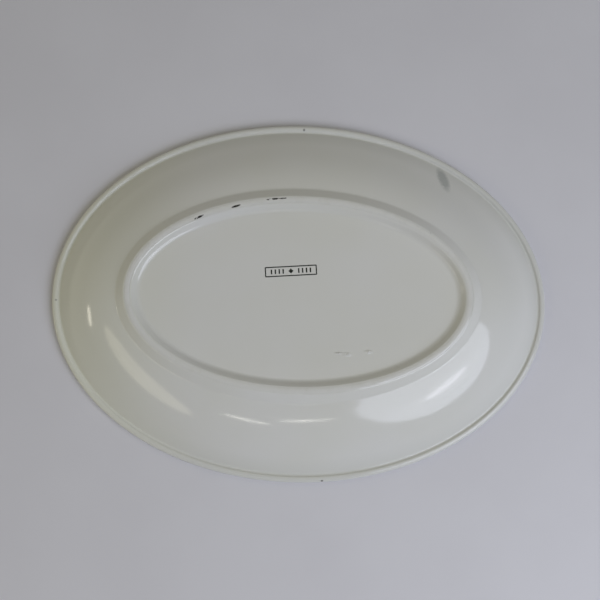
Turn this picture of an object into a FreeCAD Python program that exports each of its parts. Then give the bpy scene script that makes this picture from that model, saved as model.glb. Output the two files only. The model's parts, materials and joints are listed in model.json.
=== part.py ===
import FreeCAD, Part
import os

# Oval china serving bowl, lying rim down as it does on a draining board or in a stack:
# +X runs along the oval, +Z points from the rim to the foot ring, and z = 0 is the plane
# that the rim lies on. Sizes are millimetres over the glaze, unless noted.

doc = FreeCAD.newDocument("serving_bowl")
sizes = doc.addObject("Spreadsheet::Sheet", "Sizes")

DRIVING_SIZES = [
    ("length", 305),            # over the rim, along X
    ("width", 222),             # over the rim, along Y
    ("height", 32),             # rim plane to foot land
    ("bead_height", 5.6),       # rolled edge, rim plane to its crest
    ("bead_width", 4.2),        # outer edge to the groove behind the bead
    ("bead_round", 2.6),        # rounding of the rolled edge
    ("groove_depth", 0.9),      # crest of the rolled edge down to the groove floor
    ("groove_width", 1.0),      # groove floor, between the bead and the wall
    ("wall_crown", 0.52),       # 0 is a straight cone, 1 a wall that ends level
    ("lip_width", 5.0),         # outer edge to the food side, at the rim plane
    ("foot_length", 200.8),     # foot ring, along X, over the middle of its land
    ("foot_width", 112.4),      # foot ring, along Y, over the middle of its land
    ("foot_land", 4.2),         # flat top of the foot ring
    ("foot_flank_out", 5.6),    # sloped outer side of the foot ring, seen in plan
    ("foot_flank_in", 3.6),     # sloped inner side of the foot ring, seen in plan
    ("foot_rise", 4.7),         # foot land above the end of the wall
    ("recess_depth", 3.65),     # foot land above the recessed base
    ("land_round", 2.5),        # rounding of both edges of the land
    ("base_thickness", 4.4),    # clay and both glazes under the well
    ("well_inset", 12.0),       # edge of the flat well, inside the foot ring's outer edge
    ("glaze", 0.35),            # thickness of one coat
    ("glaze_wipe", 0.05),       # the glaze is wiped back this far below the foot land
    ("stamp_length", 30.7),     # over the frame of the base stamp
    ("stamp_width", 6.1),
    ("stamp_line", 0.65),       # width of the frame's line
    ("stamp_round", 0.5),       # outer corners of the frame
    ("stamp_film", 0.06),       # thickness of the fired colour
    ("stamp_x", -4.8),          # centre of the stamp
    ("stamp_y", 14.0),
    ("stamp_turn", 4.5),        # degrees about +Z
    ("lozenge_reach", 1.5),     # middle of the lozenge to its points
    ("bar_width", 0.8),
    ("bar_height", 2.8),
    ("bar_pitch", 2.3),
    ("margin", 20.0),           # how far cutting blocks reach past the ware
]
for row, (alias, value) in enumerate(DRIVING_SIZES, start=1):
    sizes.set(f"A{row}", alias)
    sizes.set(f"B{row}", str(value))
    sizes.setAlias(f"B{row}", alias)
doc.recompute()

# Shares of the way from the rim to the foot ring at which the wall has a section. The
# first lies just short of the wall's start, so that the wall ends inside its neighbour.
WALL_STATIONS = [-0.03, 0, 0.15, 0.35, 0.55, 0.75, 0.9, 1]
BARS_EACH_SIDE = 4
FULLEST_ROUND = 0.48

# Skins that a form may lose all over: none, or one coat of glaze.
GLAZED = "0"
BARE = "Sizes.glaze"


def add(kind, name, **bindings):
    """A document object whose properties are bound to the sheet."""
    item = doc.addObject(kind, name)
    for path, expression in bindings.items():
        item.setExpression(path.replace("__", "."), expression)
    return item


def combine(kind, name, base, tool):
    result = doc.addObject(kind, name)
    result.Base = base
    result.Tool = tool
    return result


def oval(name, datum, offset, level):
    """A level ellipse, offset from half the datum's length and half its width."""
    return add("Part::Ellipse", name, Placement__Base__z=level,
               MajorRadius=f"Sizes.{datum}length / 2 + {offset}",
               MinorRadius=f"Sizes.{datum}width / 2 + {offset}")


def loft(name, ovals, ruled):
    form = doc.addObject("Part::Loft", name)
    form.Sections = ovals
    form.Solid = True
    form.Ruled = ruled
    return form


def tapered_block(name, datum, low, high):
    """A straight-sided oval block from one (offset, level) to another."""
    return loft(name, [oval(f"{name}_low", datum, *low), oval(f"{name}_high", datum, *high)],
                ruled=True)


def crowned_dome(name, start, end, crown):
    """An oval dome whose side is a parabola from the rim to the foot ring.

    start is (offset from the rim, level), end is (offset from the foot ring, level).
    """
    ovals = []
    for index, share in enumerate(WALL_STATIONS):
        radii = [f"(Sizes.{side} / 2 + {start[0]}) * {1 - share}"
                 f" + (Sizes.foot_{side} / 2 + {end[0]}) * {share}"
                 for side in ("length", "width")]
        rise = f"((1 + {crown}) * {share} - {crown} * {share * share})"
        ovals.append(add("Part::Ellipse", f"{name}_oval{index}",
                         MajorRadius=radii[0], MinorRadius=radii[1],
                         Placement__Base__z=f"{start[1]} + ({end[1]} - ({start[1]})) * {rise}"))
    return loft(name, ovals, ruled=False)


def rounded(name, base, radius, levels):
    """Rounds the long edges of a form that lie flat at any of the levels."""
    doc.recompute()
    heights = [sizes.evalExpression(level) for level in levels]
    size = sizes.evalExpression(radius)
    form = doc.addObject("Part::Fillet", name)
    form.Base = base
    form.Edges = [(number, size, size)
                  for number, edge in enumerate(base.Shape.Edges, start=1)
                  for height in heights
                  if edge.Length > sizes.foot_width
                  and abs(edge.BoundBox.ZMin - height) < 0.01
                  and abs(edge.BoundBox.ZMax - height) < 0.01]
    return form


def slice_block(name, low, high):
    """A block over the whole plan between two levels."""
    return add("Part::Box", name, Length="Sizes.length + Sizes.margin",
               Width="Sizes.width + Sizes.margin", Height=f"{high} - {low}",
               Placement__Base__x="-(Sizes.length + Sizes.margin) / 2",
               Placement__Base__y="-(Sizes.width + Sizes.margin) / 2",
               Placement__Base__z=low)


def rim_form(name, skin):
    """The rolled edge: a round-edged oval slab with a groove behind its bead."""
    crest = f"Sizes.bead_height - {skin}"
    slab = add("Part::Extrusion", f"{name}_slab", LengthFwd=crest)
    slab.Base = oval(f"{name}_outline", "", f"-{skin}", "0")
    slab.DirMode = "Custom"
    slab.Dir = FreeCAD.Vector(0, 0, 1)
    slab.Solid = True
    # Two roundings share the edge's height, so neither may take quite half of it.
    bead_radius = f"min(Sizes.bead_round - {skin} / 2; {FULLEST_ROUND} * ({crest}))"
    bead = rounded(f"{name}_bead", slab, bead_radius, ["0", crest])
    # The groove's outer side slopes by as much as it is deep.
    floor = f"{crest} - Sizes.groove_depth"
    bead_back = f"-Sizes.bead_width + {skin}"
    groove = tapered_block(f"{name}_groove", "", (bead_back, floor),
                           (f"{bead_back} + 2 * Sizes.groove_depth",
                            f"{floor} + 2 * Sizes.groove_depth"))
    return combine("Part::Cut", f"{name}_rim", bead, groove)


def foot_form(name, skin, foot_edge, wall_end):
    """The foot ring and the floor inside it; its outer side runs on into the wall."""
    root = "Sizes.base_thickness / 2"
    spread = f"{root} * Sizes.foot_flank_out / (Sizes.foot_rise + {skin})"
    block = tapered_block(f"{name}_foot", "foot_",
                          (f"{foot_edge} + {spread}", f"{wall_end} - {root}"),
                          (f"Sizes.foot_land / 2 - {skin}", "Sizes.height"))
    recess = tapered_block(
        f"{name}_recess", "foot_",
        (f"-Sizes.foot_land / 2 - Sizes.foot_flank_in + {skin}",
         f"Sizes.height - Sizes.recess_depth - {skin}"),
        (f"-Sizes.foot_land / 2 + {skin}", "Sizes.height"))
    ring = combine("Part::Cut", f"{name}_foot_ring", block, recess)
    return rounded(f"{name}_foot_round", ring, "Sizes.land_round", ["Sizes.height"])


def outside_form(name, skin):
    """Everything that the outer surface encloses, with the inside still full."""
    foot_edge = f"Sizes.foot_land / 2 + Sizes.foot_flank_out - {skin}"
    wall_end = f"Sizes.height - Sizes.foot_rise - {skin}"
    wall = crowned_dome(f"{name}_wall",
                        (f"-Sizes.bead_width - Sizes.groove_width - {skin}",
                         f"Sizes.bead_height - {skin} - Sizes.groove_depth"),
                        (foot_edge, wall_end), "Sizes.wall_crown")
    form = doc.addObject("Part::MultiFuse", f"{name}_outside")
    form.Shapes = [rim_form(name, skin), wall, foot_form(name, skin, foot_edge, wall_end)]
    return form


def inside_form(name, skin):
    """The space that the bowl holds, carried on a little below the rim plane."""
    floor = f"Sizes.height - Sizes.recess_depth - Sizes.base_thickness + {skin}"
    return crowned_dome(
        f"{name}_inside", (f"-Sizes.lip_width + {skin}", "0"),
        ("Sizes.foot_land / 2 + Sizes.foot_flank_out - Sizes.well_inset", floor), "1")


def stamp_block(name, x, length, width):
    """A film of colour centred on the stamp's own middle line."""
    return add("Part::Box", name, Length=length, Width=width, Height="Sizes.stamp_film",
               Placement__Base__x=f"{x} - {length} / 2", Placement__Base__y=f"-{width} / 2")


def put_on_base(piece):
    """Moves a piece of the stamp from its own middle to its place on the base glaze."""
    piece.setExpression("Placement.Base.x", "Sizes.stamp_x")
    piece.setExpression("Placement.Base.y", "Sizes.stamp_y")
    piece.setExpression("Placement.Base.z", "Sizes.height - Sizes.recess_depth")
    piece.setExpression("Placement.Rotation.Angle", "Sizes.stamp_turn")
    return piece


# The fired clay, cast or pressed in one with its rolled edge and its foot ring.
clay_outside = outside_form("clay", BARE)
clay_inside = inside_form("clay", BARE)
fired_body = combine("Part::Cut", "fired_body", clay_outside, clay_inside)

# The coat on the food side lies between the two inside forms, above the rim plane.
glazed_inside = inside_form("glazed", GLAZED)
lining = combine("Part::Cut", "lining", clay_inside, glazed_inside)
inner_glaze = combine("Part::Common", "inner_glaze", lining,
                      slice_block("above_rim", "0", "Sizes.height"))

# The coat on the outside is wiped off the foot land. That parts it in two: the wall with
# the rolled edge, and the base inside the foot ring.
coat = combine("Part::Cut", "outside_coat", outside_form("glazed", GLAZED), clay_outside)
wiped_coat = combine("Part::Common", "wiped_coat", coat,
                     slice_block("below_land", "0", "Sizes.height - Sizes.glaze_wipe"))
inside_foot = tapered_block("inside_foot", "foot_", ("0", "Sizes.height - 2 * Sizes.foot_rise"),
                            ("0", "Sizes.height"))
outer_glaze = combine("Part::Cut", "outer_glaze", wiped_coat, inside_foot)
base_glaze = combine("Part::Common", "base_glaze", wiped_coat, inside_foot)

# The stamp on the base: a frame, and a plain row of bars each side of a lozenge.
stamp_outline = stamp_block("stamp_outline", "0", "Sizes.stamp_length", "Sizes.stamp_width")
doc.recompute()
stamp_plate = doc.addObject("Part::Fillet", "stamp_plate")
stamp_plate.Base = stamp_outline
stamp_plate.Edges = [(number, sizes.stamp_round, sizes.stamp_round)
                     for number, edge in enumerate(stamp_outline.Shape.Edges, start=1)
                     if edge.BoundBox.ZLength > sizes.stamp_film / 2]
stamp_window = stamp_block("stamp_window", "0", "(Sizes.stamp_length - 2 * Sizes.stamp_line)",
                           "(Sizes.stamp_width - 2 * Sizes.stamp_line)")
stamp_frame = put_on_base(combine("Part::Cut", "stamp_frame", stamp_plate, stamp_window))

lozenge = add("Part::Prism", "lozenge", Circumradius="Sizes.lozenge_reach",
              Height="Sizes.stamp_film")
lozenge.Polygon = 4
bars = [stamp_block(f"bar{index}_{side}", f"{sign} * {index} * Sizes.bar_pitch",
                    "Sizes.bar_width", "Sizes.bar_height")
        for side, sign in (("left", -1), ("right", 1))
        for index in range(2, 2 + BARS_EACH_SIDE)]
stamp_marks = doc.addObject("Part::Compound", "stamp_marks")
stamp_marks.Links = [lozenge] + bars
put_on_base(stamp_marks)

SUB_PARTS = [fired_body, inner_glaze, outer_glaze, base_glaze, stamp_frame, stamp_marks]

doc.recompute()
for item in doc.Objects:
    if "Invalid" in item.State or "Error" in item.State:
        raise RuntimeError(f"{item.Name} did not compute: {item.State}")
for piece in SUB_PARTS:
    if piece.Shape.isNull() or not piece.Shape.isValid() or not piece.Shape.Solids:
        raise RuntimeError(f"{piece.Label} has no valid solid")
os.makedirs("parts", exist_ok=True)
for piece in SUB_PARTS:
    piece.Shape.exportStep(f"parts/{piece.Label}.step")
    print(f"{piece.Label}: {len(piece.Shape.Solids)} solid(s), {piece.Shape.Volume:.1f} mm3")
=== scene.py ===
import json
import math

import bpy
from mathutils import Matrix, Vector


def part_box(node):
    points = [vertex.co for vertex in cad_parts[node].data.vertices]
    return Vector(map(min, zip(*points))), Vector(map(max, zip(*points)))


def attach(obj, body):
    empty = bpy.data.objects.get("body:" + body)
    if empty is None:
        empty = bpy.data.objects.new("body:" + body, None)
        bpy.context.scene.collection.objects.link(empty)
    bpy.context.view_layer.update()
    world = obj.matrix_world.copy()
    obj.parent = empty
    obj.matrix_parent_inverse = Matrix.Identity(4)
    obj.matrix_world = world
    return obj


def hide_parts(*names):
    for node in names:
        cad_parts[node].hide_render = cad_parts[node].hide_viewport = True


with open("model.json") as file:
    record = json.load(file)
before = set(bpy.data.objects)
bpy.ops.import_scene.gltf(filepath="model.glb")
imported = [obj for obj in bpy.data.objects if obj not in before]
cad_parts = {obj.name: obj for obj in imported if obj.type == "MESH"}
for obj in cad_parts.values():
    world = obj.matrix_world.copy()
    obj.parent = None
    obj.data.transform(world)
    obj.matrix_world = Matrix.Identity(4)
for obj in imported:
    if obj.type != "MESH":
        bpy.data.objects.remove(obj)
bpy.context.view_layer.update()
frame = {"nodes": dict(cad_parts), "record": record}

# An oval china serving bowl lying rim down: +X along the oval, +Z from the rim to the
# foot ring, metres. Insets and depths are given in millimetres, as a potter's gauge has them.
MM = 0.001

# ------------------------------------------------------------------ outer glaze
# The coat of clear glaze over the outside, from the lip round the rolled edge and the
# cove behind it, over the crowned wall, up to the foot ring. It is poured on and fired
# to the clay, and wiped off just short of the foot ring's land.

AROUND = 288                    # sides that an oval is drawn with
COAT = 0.35                     # thickness of a coat of glaze
LIP_START = 2.75                # inset at which the outer coat starts on the rim plane
BEAD_HEIGHT = 5.6               # rolled edge, over the rim plane
BEAD_ROUND = 2.6                # how far from its corners the rolled edge is rounded
BEAD_CREST_END = 3.3            # inset at which the bead turns down into the cove
BEAD_FILLET = 0.6               # how far from that turn it is rounded
COVE = (4.2, 5.2)               # insets of the cove's two sides
COVE_LEVEL = 4.7
COVE_FILLET = 0.45
WALL_CROWN = 0.52               # 0 is a straight cone, 1 a wall that ends level
WALL_RINGS = 30
FOOT_ROOT = (7.7, 4.7)          # outset from the foot's middle line, depth below its land
FOOT_FILLET = 0.9               # how far from its corner the foot's root is rounded
LAND_HALF = 2.1                 # half the width of the foot ring's land, to its corners
LAND_ROUND = 0.95               # how far from its corners the land is rounded
WIPED = 0.05                    # the coat stops this far below the land

rim_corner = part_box("outer_glaze")[1]
base_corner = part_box("base_glaze")[1]
land_x, _, land_level = frame["record"]["mounts"][0]["pos_m"]

# A ring is a level oval, kept as (half length, half width, level).
rim_oval = Vector((rim_corner.x, rim_corner.y, 0))
foot_oval = Vector((land_x, base_corner.y + land_x - base_corner.x, land_level))


def rim_ring(inset, level):
    return rim_oval + Vector((-inset, -inset, level)) * MM


def foot_ring(outset, depth):
    return foot_oval + Vector((outset, outset, -depth)) * MM


def run(before, after):
    """Length of the way between two rings, in the section along X."""
    return math.hypot(after.x - before.x, after.z - before.z)


def bend(before, corner, after, reach, steps=8):
    """Rings round a corner, on an arc that leaves both sides `reach` mm from it."""
    start = corner.lerp(before, reach * MM / run(corner, before))
    end = corner.lerp(after, reach * MM / run(corner, after))
    side_before = Vector((start.x - corner.x, start.z - corner.z))
    side_after = Vector((end.x - corner.x, end.z - corner.z))
    pull = math.sin(side_before.angle(side_after) / 2)
    rings = []
    for step in range(steps + 1):
        share = step / steps
        weights = (1 - share) ** 2, 2 * pull * share * (1 - share), share ** 2
        total = start * weights[0] + corner * weights[1] + end * weights[2]
        rings.append(total / sum(weights))
    return rings


def crowned(start, end, crown, shares):
    """Rings up a wall whose section is a parabola."""
    rings = []
    for share in shares:
        ring = start.lerp(end, share)
        ring.z = start.z + (end.z - start.z) * ((1 + crown) * share - crown * share ** 2)
        rings.append(ring)
    return rings


def draw_out(name, rings, closed_at_end, faces_up=True):
    """An oval skin drawn out from its first ring to its last, and to a point if closed."""
    bpy.ops.object.select_all(action="DESELECT")
    first = rings[0]
    bpy.ops.mesh.primitive_circle_add(vertices=AROUND, radius=first.x, location=(0, 0, first.z))
    bpy.ops.object.transform_apply(location=True, rotation=True, scale=True)
    piece = bpy.context.object
    piece.name = name
    piece.data.name = name
    bpy.ops.object.mode_set(mode="EDIT")
    bpy.ops.mesh.select_all(action="SELECT")
    bpy.ops.transform.resize(value=(1, first.y / first.x, 1))
    for last, ring in zip(rings, rings[1:]):
        bpy.ops.mesh.extrude_edges_move(
            TRANSFORM_OT_translate={"value": (0, 0, ring.z - last.z)})
        bpy.ops.transform.resize(value=(ring.x / last.x, ring.y / last.y, 1))
    if closed_at_end:
        bpy.ops.mesh.merge(type="CENTER")
    bpy.ops.mesh.select_all(action="SELECT")
    bpy.ops.mesh.normals_make_consistent(inside=False)
    bpy.ops.object.mode_set(mode="OBJECT")
    rise = sum(face.normal.z * face.area for face in piece.data.polygons)
    if (rise > 0) != faces_up:
        piece.data.flip_normals()
    return piece


def thicken(piece, thickness):
    """Gives a skin its thickness, away from the side that shows, and smooths it."""
    wall = piece.modifiers.new("thickness", "SOLIDIFY")
    wall.thickness = thickness * MM
    wall.offset = -1
    bpy.ops.object.modifier_apply(modifier=wall.name)
    bpy.ops.object.shade_smooth_by_angle(angle=math.radians(40))


edge_low, edge_high = rim_ring(0, 0), rim_ring(0, BEAD_HEIGHT)
bead_back = rim_ring(BEAD_CREST_END, BEAD_HEIGHT)
cove_out, cove_in = rim_ring(COVE[0], COVE_LEVEL), rim_ring(COVE[1], COVE_LEVEL)
wall_end = foot_ring(*FOOT_ROOT)
wall_shares = [share / WALL_RINGS for share in range(WALL_RINGS + 1)]
wall = crowned(cove_in, wall_end, WALL_CROWN, wall_shares)
land_edge, land_middle = foot_ring(LAND_HALF, 0), foot_ring(0, 0)
wiped_level = land_level - WIPED * MM

outer_rings = [rim_ring(LIP_START, 0)]
outer_rings += bend(rim_ring(LIP_START, 0), edge_low, edge_high, BEAD_ROUND)
outer_rings += bend(edge_low, edge_high, bead_back, BEAD_ROUND)
outer_rings += bend(edge_high, bead_back, cove_out, BEAD_FILLET, 6)
outer_rings += bend(bead_back, cove_out, cove_in, COVE_FILLET, 6)
outer_rings += bend(cove_out, cove_in, wall[1], COVE_FILLET, 6)
outer_rings += wall[1:-2]
outer_rings += bend(wall[-3], wall_end, land_edge, FOOT_FILLET, 10)
outer_rings += [ring for ring in bend(wall_end, land_edge, land_middle, LAND_ROUND, 16)
                if ring.z < wiped_level]

outer_coat = draw_out("outer_coat", outer_rings, closed_at_end=False)
thicken(outer_coat, COAT)
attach(outer_coat, "root")
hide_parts("outer_glaze")


class Finish:
    """A material whose nodes are added one after another."""

    def __init__(self, name):
        self.material = bpy.data.materials.new(name)
        self.material.use_nodes = True
        self.nodes = self.material.node_tree.nodes
        self.links = self.material.node_tree.links
        self.shader = self.nodes["Principled BSDF"]
        self.place = self.nodes.new("ShaderNodeTexCoord").outputs["Object"]

    def plug(self, socket, value):
        if isinstance(value, bpy.types.NodeSocket):
            self.links.new(value, socket)
        else:
            socket.default_value = value

    def noise(self, size, detail=3.0, roughness=0.5, stretch=(1, 1, 1)):
        """Noise with patches of about `size` mm."""
        mapping = self.nodes.new("ShaderNodeMapping")
        mapping.inputs["Scale"].default_value = stretch
        self.plug(mapping.inputs["Vector"], self.place)
        node = self.nodes.new("ShaderNodeTexNoise")
        self.plug(node.inputs["Vector"], mapping.outputs["Vector"])
        node.inputs["Scale"].default_value = 1 / (size * MM)
        node.inputs["Detail"].default_value = detail
        node.inputs["Roughness"].default_value = roughness
        return node.outputs["Fac"]

    def levels(self, value, low, high, to_low=0.0, to_high=1.0):
        node = self.nodes.new("ShaderNodeMapRange")
        self.plug(node.inputs["Value"], value)
        for name, number in (("From Min", low), ("From Max", high),
                             ("To Min", to_low), ("To Max", to_high)):
            node.inputs[name].default_value = number
        return node.outputs["Result"]

    def maths(self, operation, first, second):
        node = self.nodes.new("ShaderNodeMath")
        node.operation = operation
        self.plug(node.inputs[0], first)
        self.plug(node.inputs[1], second)
        return node.outputs["Value"]

    def blend(self, share, first, second):
        """Goes from the first colour to the second as share goes from 0 to 1."""
        node = self.nodes.new("ShaderNodeMix")
        node.data_type = "RGBA"
        self.plug(node.inputs["Factor"], share)
        self.plug(node.inputs["A"], first)
        self.plug(node.inputs["B"], second)
        return node.outputs["Result"]

    def along(self, axis):
        """Place along X, Y or Z, in metres."""
        node = self.nodes.new("ShaderNodeSeparateXYZ")
        self.plug(node.inputs["Vector"], self.place)
        return node.outputs[axis]

    def spot(self, centre, half_length, half_width, turn):
        """1 in the middle of a mark lying at centre, falling to 0 at its edge."""
        mapping = self.nodes.new("ShaderNodeMapping")
        mapping.vector_type = "TEXTURE"
        mapping.inputs["Location"].default_value = Vector(centre) * MM
        mapping.inputs["Rotation"].default_value = (0, 0, math.radians(turn))
        mapping.inputs["Scale"].default_value = Vector((half_length, half_width, half_length)) * MM
        self.plug(mapping.inputs["Vector"], self.place)
        node = self.nodes.new("ShaderNodeTexGradient")
        node.gradient_type = "SPHERICAL"
        self.plug(node.inputs["Vector"], mapping.outputs["Vector"])
        return node.outputs["Fac"]

    def bump(self, height, depth):
        """A relief of up to `depth` mm where height goes from 0 to 1."""
        node = self.nodes.new("ShaderNodeBump")
        node.inputs["Distance"].default_value = depth * MM
        self.plug(node.inputs["Height"], height)
        last = self.shader.inputs["Normal"]
        if last.is_linked:
            self.plug(node.inputs["Normal"], last.links[0].from_socket)
        self.plug(last, node.outputs["Normal"])


GLAZE_COLOUR = (0.718, 0.711, 0.674, 1)
GLAZE_SHADE = (0.703, 0.696, 0.642, 1)
GLAZE_RIM_SHADE = (0.668, 0.665, 0.618, 1)   # painted shade: darker and a little yellower over the rolled edge and its cove
RIM_SHADE_LEVELS = (5.5, 12.0)               # over the rim plane: the fully shaded part, and its end
GLAZE_LEFT_LIGHT = (0.700, 0.694, 0.590, 1)   # painted warm light from the left: the oval's -X end yellower and a little darker
LEFT_LIGHT_END = (-138, -60)                  # along X: the yellower part, and its end
GLAZE_WAVES = (26, 0.10)                # slow waves in the coat: length, depth
GLAZE_RIPPLE = (5, 0.006)
METAL_MARK = (0.035, 0.033, 0.03, 1)
STREAK_GREY = (0.31, 0.33, 0.31, 1)
# Marks lie at a centre, with half a length, half a width and a turn in degrees.
# A soft grey streak on the wall near the rim, at the far side of the +X end.
STREAK = ((88.2, 76.0, 9.0), 12.5, 4.4, -78)
# Iron specks have a centre and a reach.
SPECKS = (((-149.4, -4.0, 5.0), 1.0), ((16.8, -109.5, 5.0), 1.1), ((0.9, 108.0, 5.0), 1.2),
          ((76.7, 37.8, 31.5), 0.9), ((-56.0, -78.0, 17.0), 0.5))
PINHOLE_DEPTH = 1.0
PINHOLES = (((29, -34.4, 28.3), 3.4, 1.4, 3), ((24.4, -33.8, 28.3), 3.0, 0.9, 3),
            ((41.8, -32.6, 28.3), 2.8, 1.4, 0))

glaze = Finish("clear_glaze_over_white_clay")
drift = glaze.levels(glaze.noise(60, detail=2), 0.35, 0.65)
colour = glaze.blend(drift, GLAZE_COLOUR, GLAZE_SHADE)
# Painted shade over the rolled edge and its cove, fading out up the wall.
rim_shade = glaze.levels(glaze.along("Z"), RIM_SHADE_LEVELS[0] * MM, RIM_SHADE_LEVELS[1] * MM, 1.0, 0.0)
colour = glaze.blend(rim_shade, colour, GLAZE_RIM_SHADE)
# Painted warm light from the left, over the -X end, fading out towards the middle.
left_light = glaze.levels(glaze.along("X"), LEFT_LIGHT_END[0] * MM, LEFT_LIGHT_END[1] * MM, 1.0, 0.0)
colour = glaze.blend(left_light, colour, GLAZE_LEFT_LIGHT)
streaked = glaze.maths("MULTIPLY", glaze.spot(*STREAK),
                      glaze.levels(glaze.noise(2, detail=4), 0.1, 0.45))
colour = glaze.blend(glaze.levels(streaked, 0.05, 0.5, 0.0, 0.62), colour, STREAK_GREY)
for centre, reach in SPECKS:
    colour = glaze.blend(glaze.levels(glaze.spot(centre, reach, reach, 0), 0.1, 0.6, 0.0, 0.85),
                         colour, METAL_MARK)
glaze.plug(glaze.shader.inputs["Base Color"], colour)
glaze.plug(glaze.shader.inputs["Roughness"], glaze.levels(glaze.noise(9), 0.3, 0.7, 0.07, 0.12))
glaze.shader.inputs["IOR"].default_value = 1.5
glaze.bump(glaze.noise(GLAZE_WAVES[0], detail=1.5), GLAZE_WAVES[1])
glaze.bump(glaze.noise(GLAZE_RIPPLE[0], detail=1), GLAZE_RIPPLE[1])
for pinhole in PINHOLES:
    glaze.bump(glaze.maths("MULTIPLY", glaze.spot(*pinhole), glaze.noise(0.8, detail=2)),
               PINHOLE_DEPTH)
outer_coat.data.materials.append(glaze.material)

# ------------------------------------------------------------------ base glaze
# The same coat inside the foot ring: down the ring's inner side and flat over the base,
# where the stamp is. The foot ring's dry land parts it from the outer glaze.

BASE_EDGE = (5.7, 3.65)         # inset from the foot's middle line, depth below its land
BASE_FILLET = 2.2
BASE_RINGS = 12

base_land_edge, base_edge = foot_ring(-LAND_HALF, 0), foot_ring(-BASE_EDGE[0], BASE_EDGE[1])
base_middle = Vector((base_edge.x, base_edge.y, 0)) / BASE_RINGS + Vector((0, 0, base_edge.z))
base_rings = [ring for ring in bend(land_middle, base_land_edge, base_edge, LAND_ROUND, 16)
              if ring.z < wiped_level]
base_rings += bend(base_land_edge, base_edge, base_middle, BASE_FILLET, 8)
base_rings += [base_rings[-1].lerp(base_middle, step / BASE_RINGS)
               for step in range(1, BASE_RINGS + 1)]

base_coat = draw_out("base_coat", base_rings, closed_at_end=True)
thicken(base_coat, COAT)
base_coat.data.materials.append(glaze.material)
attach(base_coat, "root")
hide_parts("base_glaze")

# ------------------------------------------------------------------ inner glaze
# The coat on the food side, from the lip down the curved wall to the flat of the well.
# The lip it starts from is left dry, where the ware stood on its rim.

LIP_WIDTH = 5.0                 # inset at which the food side starts
WELL_EDGE = 4.3                 # inset from the foot's middle line
WELL_DEPTH = 8.05               # below the foot's land

well_edge = foot_ring(-WELL_EDGE, WELL_DEPTH)
well_middle = Vector((well_edge.x, well_edge.y, 0)) / BASE_RINGS + Vector((0, 0, well_edge.z))
inner_rings = crowned(rim_ring(LIP_WIDTH, 0), well_edge, 1, wall_shares)
inner_rings += [well_edge.lerp(well_middle, step / BASE_RINGS)
                for step in range(1, BASE_RINGS + 1)]

inner_coat = draw_out("inner_coat", inner_rings, closed_at_end=True, faces_up=False)
thicken(inner_coat, COAT)
inner_coat.data.materials.append(glaze.material)
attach(inner_coat, "root")
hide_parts("inner_glaze")

# ------------------------------------------------------------------ fired body
# The white clay of the bowl, pressed in one with its rolled edge and foot ring. It shows
# only where it is dry, on the polished land of the foot ring and on the lip. Kiln
# furniture and cutlery have left a few dark metal marks on the land.

clay = Finish("fired_white_clay")
CLAY_COLOUR = (0.716, 0.709, 0.668, 1)
CLAY_GRIME = (0.675, 0.665, 0.612, 1)
LAND_MARKS = (((-59.8, 44.3, 32), 3.4, 0.7, 27), ((-38.2, 51.4, 32), 3.2, 0.7, 18),
              ((-16.5, 56.2, 32), 4.6, 0.7, 7), ((-10.5, 56.8, 32), 2.5, 0.5, 7))
grime = clay.levels(clay.noise(7, detail=6, roughness=0.65), 0.5, 0.75)
colour = clay.blend(grime, CLAY_COLOUR, CLAY_GRIME)
for place in LAND_MARKS:
    mark = clay.maths("MULTIPLY", clay.spot(*place),
                      clay.levels(clay.noise(1.2, detail=4), 0.35, 0.55, 0, 3))
    colour = clay.blend(clay.levels(mark, 0.1, 0.6), colour, METAL_MARK)
clay.plug(clay.shader.inputs["Base Color"], colour)
clay.plug(clay.shader.inputs["Roughness"], clay.levels(clay.noise(3), 0.3, 0.7, 0.10, 0.17))
clay.bump(clay.noise(0.5, detail=4, roughness=0.7), 0.002)


def refinish(node, material):
    """Gives a piece of the frame its finished material."""
    piece = frame["nodes"][node]
    for material_slot in piece.material_slots:
        material_slot.material = material


refinish("fired_body", clay.material)

# ------------------------------------------------------------------ base stamp
# A frame with a row of plain bars each side of a lozenge, printed in dark green-black
# ceramic colour by a rubber stamp and fired on. The stamp was unevenly inked.

ink = Finish("fired_stamp_colour")
INK_DENSE = (0.006, 0.011, 0.009, 1)
INK_THIN = (0.035, 0.045, 0.037, 1)
patchy = ink.levels(ink.noise(0.9, detail=4, roughness=0.6), 0.5, 0.75)
ink.plug(ink.shader.inputs["Base Color"], ink.blend(patchy, INK_DENSE, INK_THIN))
ink.plug(ink.shader.inputs["Roughness"], ink.levels(patchy, 0, 1, 0.25, 0.45))
ink.bump(ink.noise(0.3, detail=3), 0.01)
refinish("stamp_frame", ink.material)
refinish("stamp_marks", ink.material)

# ------------------------------------------------------------------ floor
# A smooth painted board, pale grey, under the bowl and well past it on all sides.

FLOOR_SIDE = 2.8
bpy.ops.object.select_all(action="DESELECT")
bpy.ops.mesh.primitive_grid_add(x_subdivisions=12, y_subdivisions=12, size=FLOOR_SIDE)
floor = bpy.context.object
floor.name = "floor"
board = Finish("painted_board")
BOARD_COLOUR = (0.692, 0.680, 0.706, 1)
BOARD_SHADE = (0.675, 0.662, 0.688, 1)
board.plug(board.shader.inputs["Base Color"],
           board.blend(board.levels(board.noise(80, detail=4), 0.4, 0.6),
                       BOARD_COLOUR, BOARD_SHADE))
board.shader.inputs["Roughness"].default_value = 0.55
board.bump(board.noise(2.5, detail=4), 0.03)
floor.data.materials.append(board.material)

# ------------------------------------------------------------------ light
# A plain soft studio: a large window on the near right, two tube lights over the near side,
# a lamp and a soft panel on the left, and the glow of a pale room. Azimuth 0 is the near
# side and 90 is +X; distances and sizes are in metres.


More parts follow.
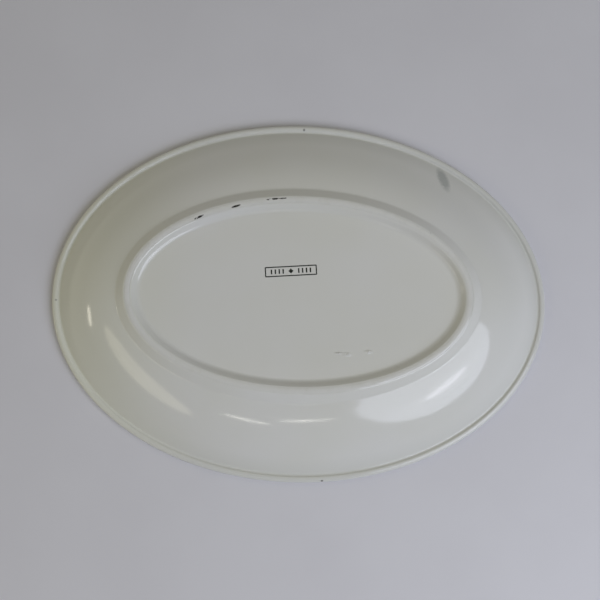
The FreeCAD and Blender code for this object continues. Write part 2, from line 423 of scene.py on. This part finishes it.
def softbox(name, azimuth, elevation, distance, width, height, radiance, colour):
    """An oval light that faces the bowl and is equally bright all over."""
    bpy.ops.object.light_add(type="AREA")
    lamp = bpy.context.object
    lamp.name = name
    lamp.data.shape = "ELLIPSE"
    lamp.data.size = width
    lamp.data.size_y = height
    lamp.data.energy = radiance * math.pi * (math.pi / 4 * width * height)
    lamp.data.color = colour
    turn = (Matrix.Rotation(math.radians(azimuth), 4, "Z")
            @ Matrix.Rotation(math.radians(90 - elevation), 4, "X"))
    lamp.matrix_world = turn @ Matrix.Translation((0, 0, distance))
    lamp.visible_camera = False


# The window is brightest in the middle of its lower part and fades to its sides.
softbox("window_whole", 51, 43, 1.3, 1.14, 1.04, 3.7, (0.80, 0.85, 0.99))
softbox("window_middle", 46, 34.5, 1.3, 0.95, 0.26, 0.33, (0.91, 0.91, 1.0))
softbox("window_bright", 48.5, 35.4, 1.3, 0.36, 0.11, 4.5, (0.89, 0.89, 1.0))
softbox("tube_left", -14, 40.7, 2.0, 0.36, 0.05, 8.5, (1.0, 0.97, 0.90))
softbox("tube_right", 3, 44.8, 2.0, 0.38, 0.05, 8.5, (1.0, 0.97, 0.90))
softbox("left_lamp", -84, 18, 1.6, 0.30, 0.08, 6.5, (1.0, 0.93, 0.78))
softbox("left_fill", -53, 33, 1.6, 1.20, 0.32, 1.9, (1.0, 0.94, 0.72))

world = bpy.data.worlds.new("room")
world.use_nodes = True
bpy.context.scene.world = world
room = world.node_tree
toward = room.nodes.new("ShaderNodeTexCoord").outputs["Generated"]

# The room's pale walls are a band along the horizon, brightest at eye level.
WALL_GLOW = (0.36, 0.36, 0.35)
WALL_FOCUS = 50                 # a higher power makes a narrower band
levelled = room.nodes.new("ShaderNodeVectorMath")
levelled.operation = "MULTIPLY"
levelled.inputs[1].default_value = (1, 1, 0)
room.links.new(toward, levelled.inputs[0])
flatness = room.nodes.new("ShaderNodeVectorMath")
flatness.operation = "LENGTH"
room.links.new(levelled.outputs["Vector"], flatness.inputs[0])
band = room.nodes.new("ShaderNodeMath")
band.operation = "POWER"
band.inputs[1].default_value = 2 * WALL_FOCUS
room.links.new(flatness.outputs["Value"], band.inputs[0])
walls = room.nodes.new("ShaderNodeVectorMath")
walls.operation = "MULTIPLY"
walls.inputs[1].default_value = WALL_GLOW
room.links.new(band.outputs["Value"], walls.inputs[0])
sky = walls.outputs["Vector"]

# Soft glows come over the far side and from the left. Each is an azimuth, an elevation,
# and its colour times its strength.
GLOWS = ((178, 57, (0.68, 0.66, 0.55)), (200, 12, (0.05, 0.05, 0.07)),
         (265, 12, (0.45, 0.44, 0.37)))
GLOW_FOCUS = 6                  # a higher power makes a narrower glow
for azimuth, elevation, glow in GLOWS:
    around, up = math.radians(azimuth), math.radians(elevation)
    facing = room.nodes.new("ShaderNodeVectorMath")
    facing.operation = "DOT_PRODUCT"
    facing.inputs[1].default_value = (math.sin(around) * math.cos(up),
                                      -math.cos(around) * math.cos(up), math.sin(up))
    room.links.new(toward, facing.inputs[0])
    ahead = room.nodes.new("ShaderNodeMath")
    ahead.operation = "MAXIMUM"
    ahead.inputs[1].default_value = 0
    room.links.new(facing.outputs["Value"], ahead.inputs[0])
    narrowed = room.nodes.new("ShaderNodeMath")
    narrowed.operation = "POWER"
    narrowed.inputs[1].default_value = GLOW_FOCUS
    room.links.new(ahead.outputs["Value"], narrowed.inputs[0])
    glowing = room.nodes.new("ShaderNodeVectorMath")
    glowing.operation = "MULTIPLY_ADD"
    glowing.inputs[1].default_value = glow
    room.links.new(narrowed.outputs["Value"], glowing.inputs[0])
    room.links.new(sky, glowing.inputs[2])
    sky = glowing.outputs["Vector"]
room.links.new(sky, room.nodes["Background"].inputs["Color"])

# ------------------------------------------------------------------ camera
# Held over the bowl from the near side, turned a little.

LENS = 48                       # millimetres, on a 36 mm frame
TARGET = (0.951, 0.25, 0)       # point on the floor that it looks at, millimetres
DISTANCE = 498.5
TILT = 6.76                     # degrees from straight down
ROLL = 1.40

bpy.ops.object.camera_add()
camera = bpy.context.object
camera.data.lens = LENS
camera.data.clip_start = 0.01
camera.matrix_world = (Matrix.Translation(Vector(TARGET) * MM)
                       @ Matrix.Rotation(math.radians(TILT), 4, "X")
                       @ Matrix.Rotation(math.radians(ROLL), 4, "Z")
                       @ Matrix.Translation((0, 0, DISTANCE * MM)))
bpy.context.scene.camera = camera
bpy.context.scene.view_settings.view_transform = "Standard"
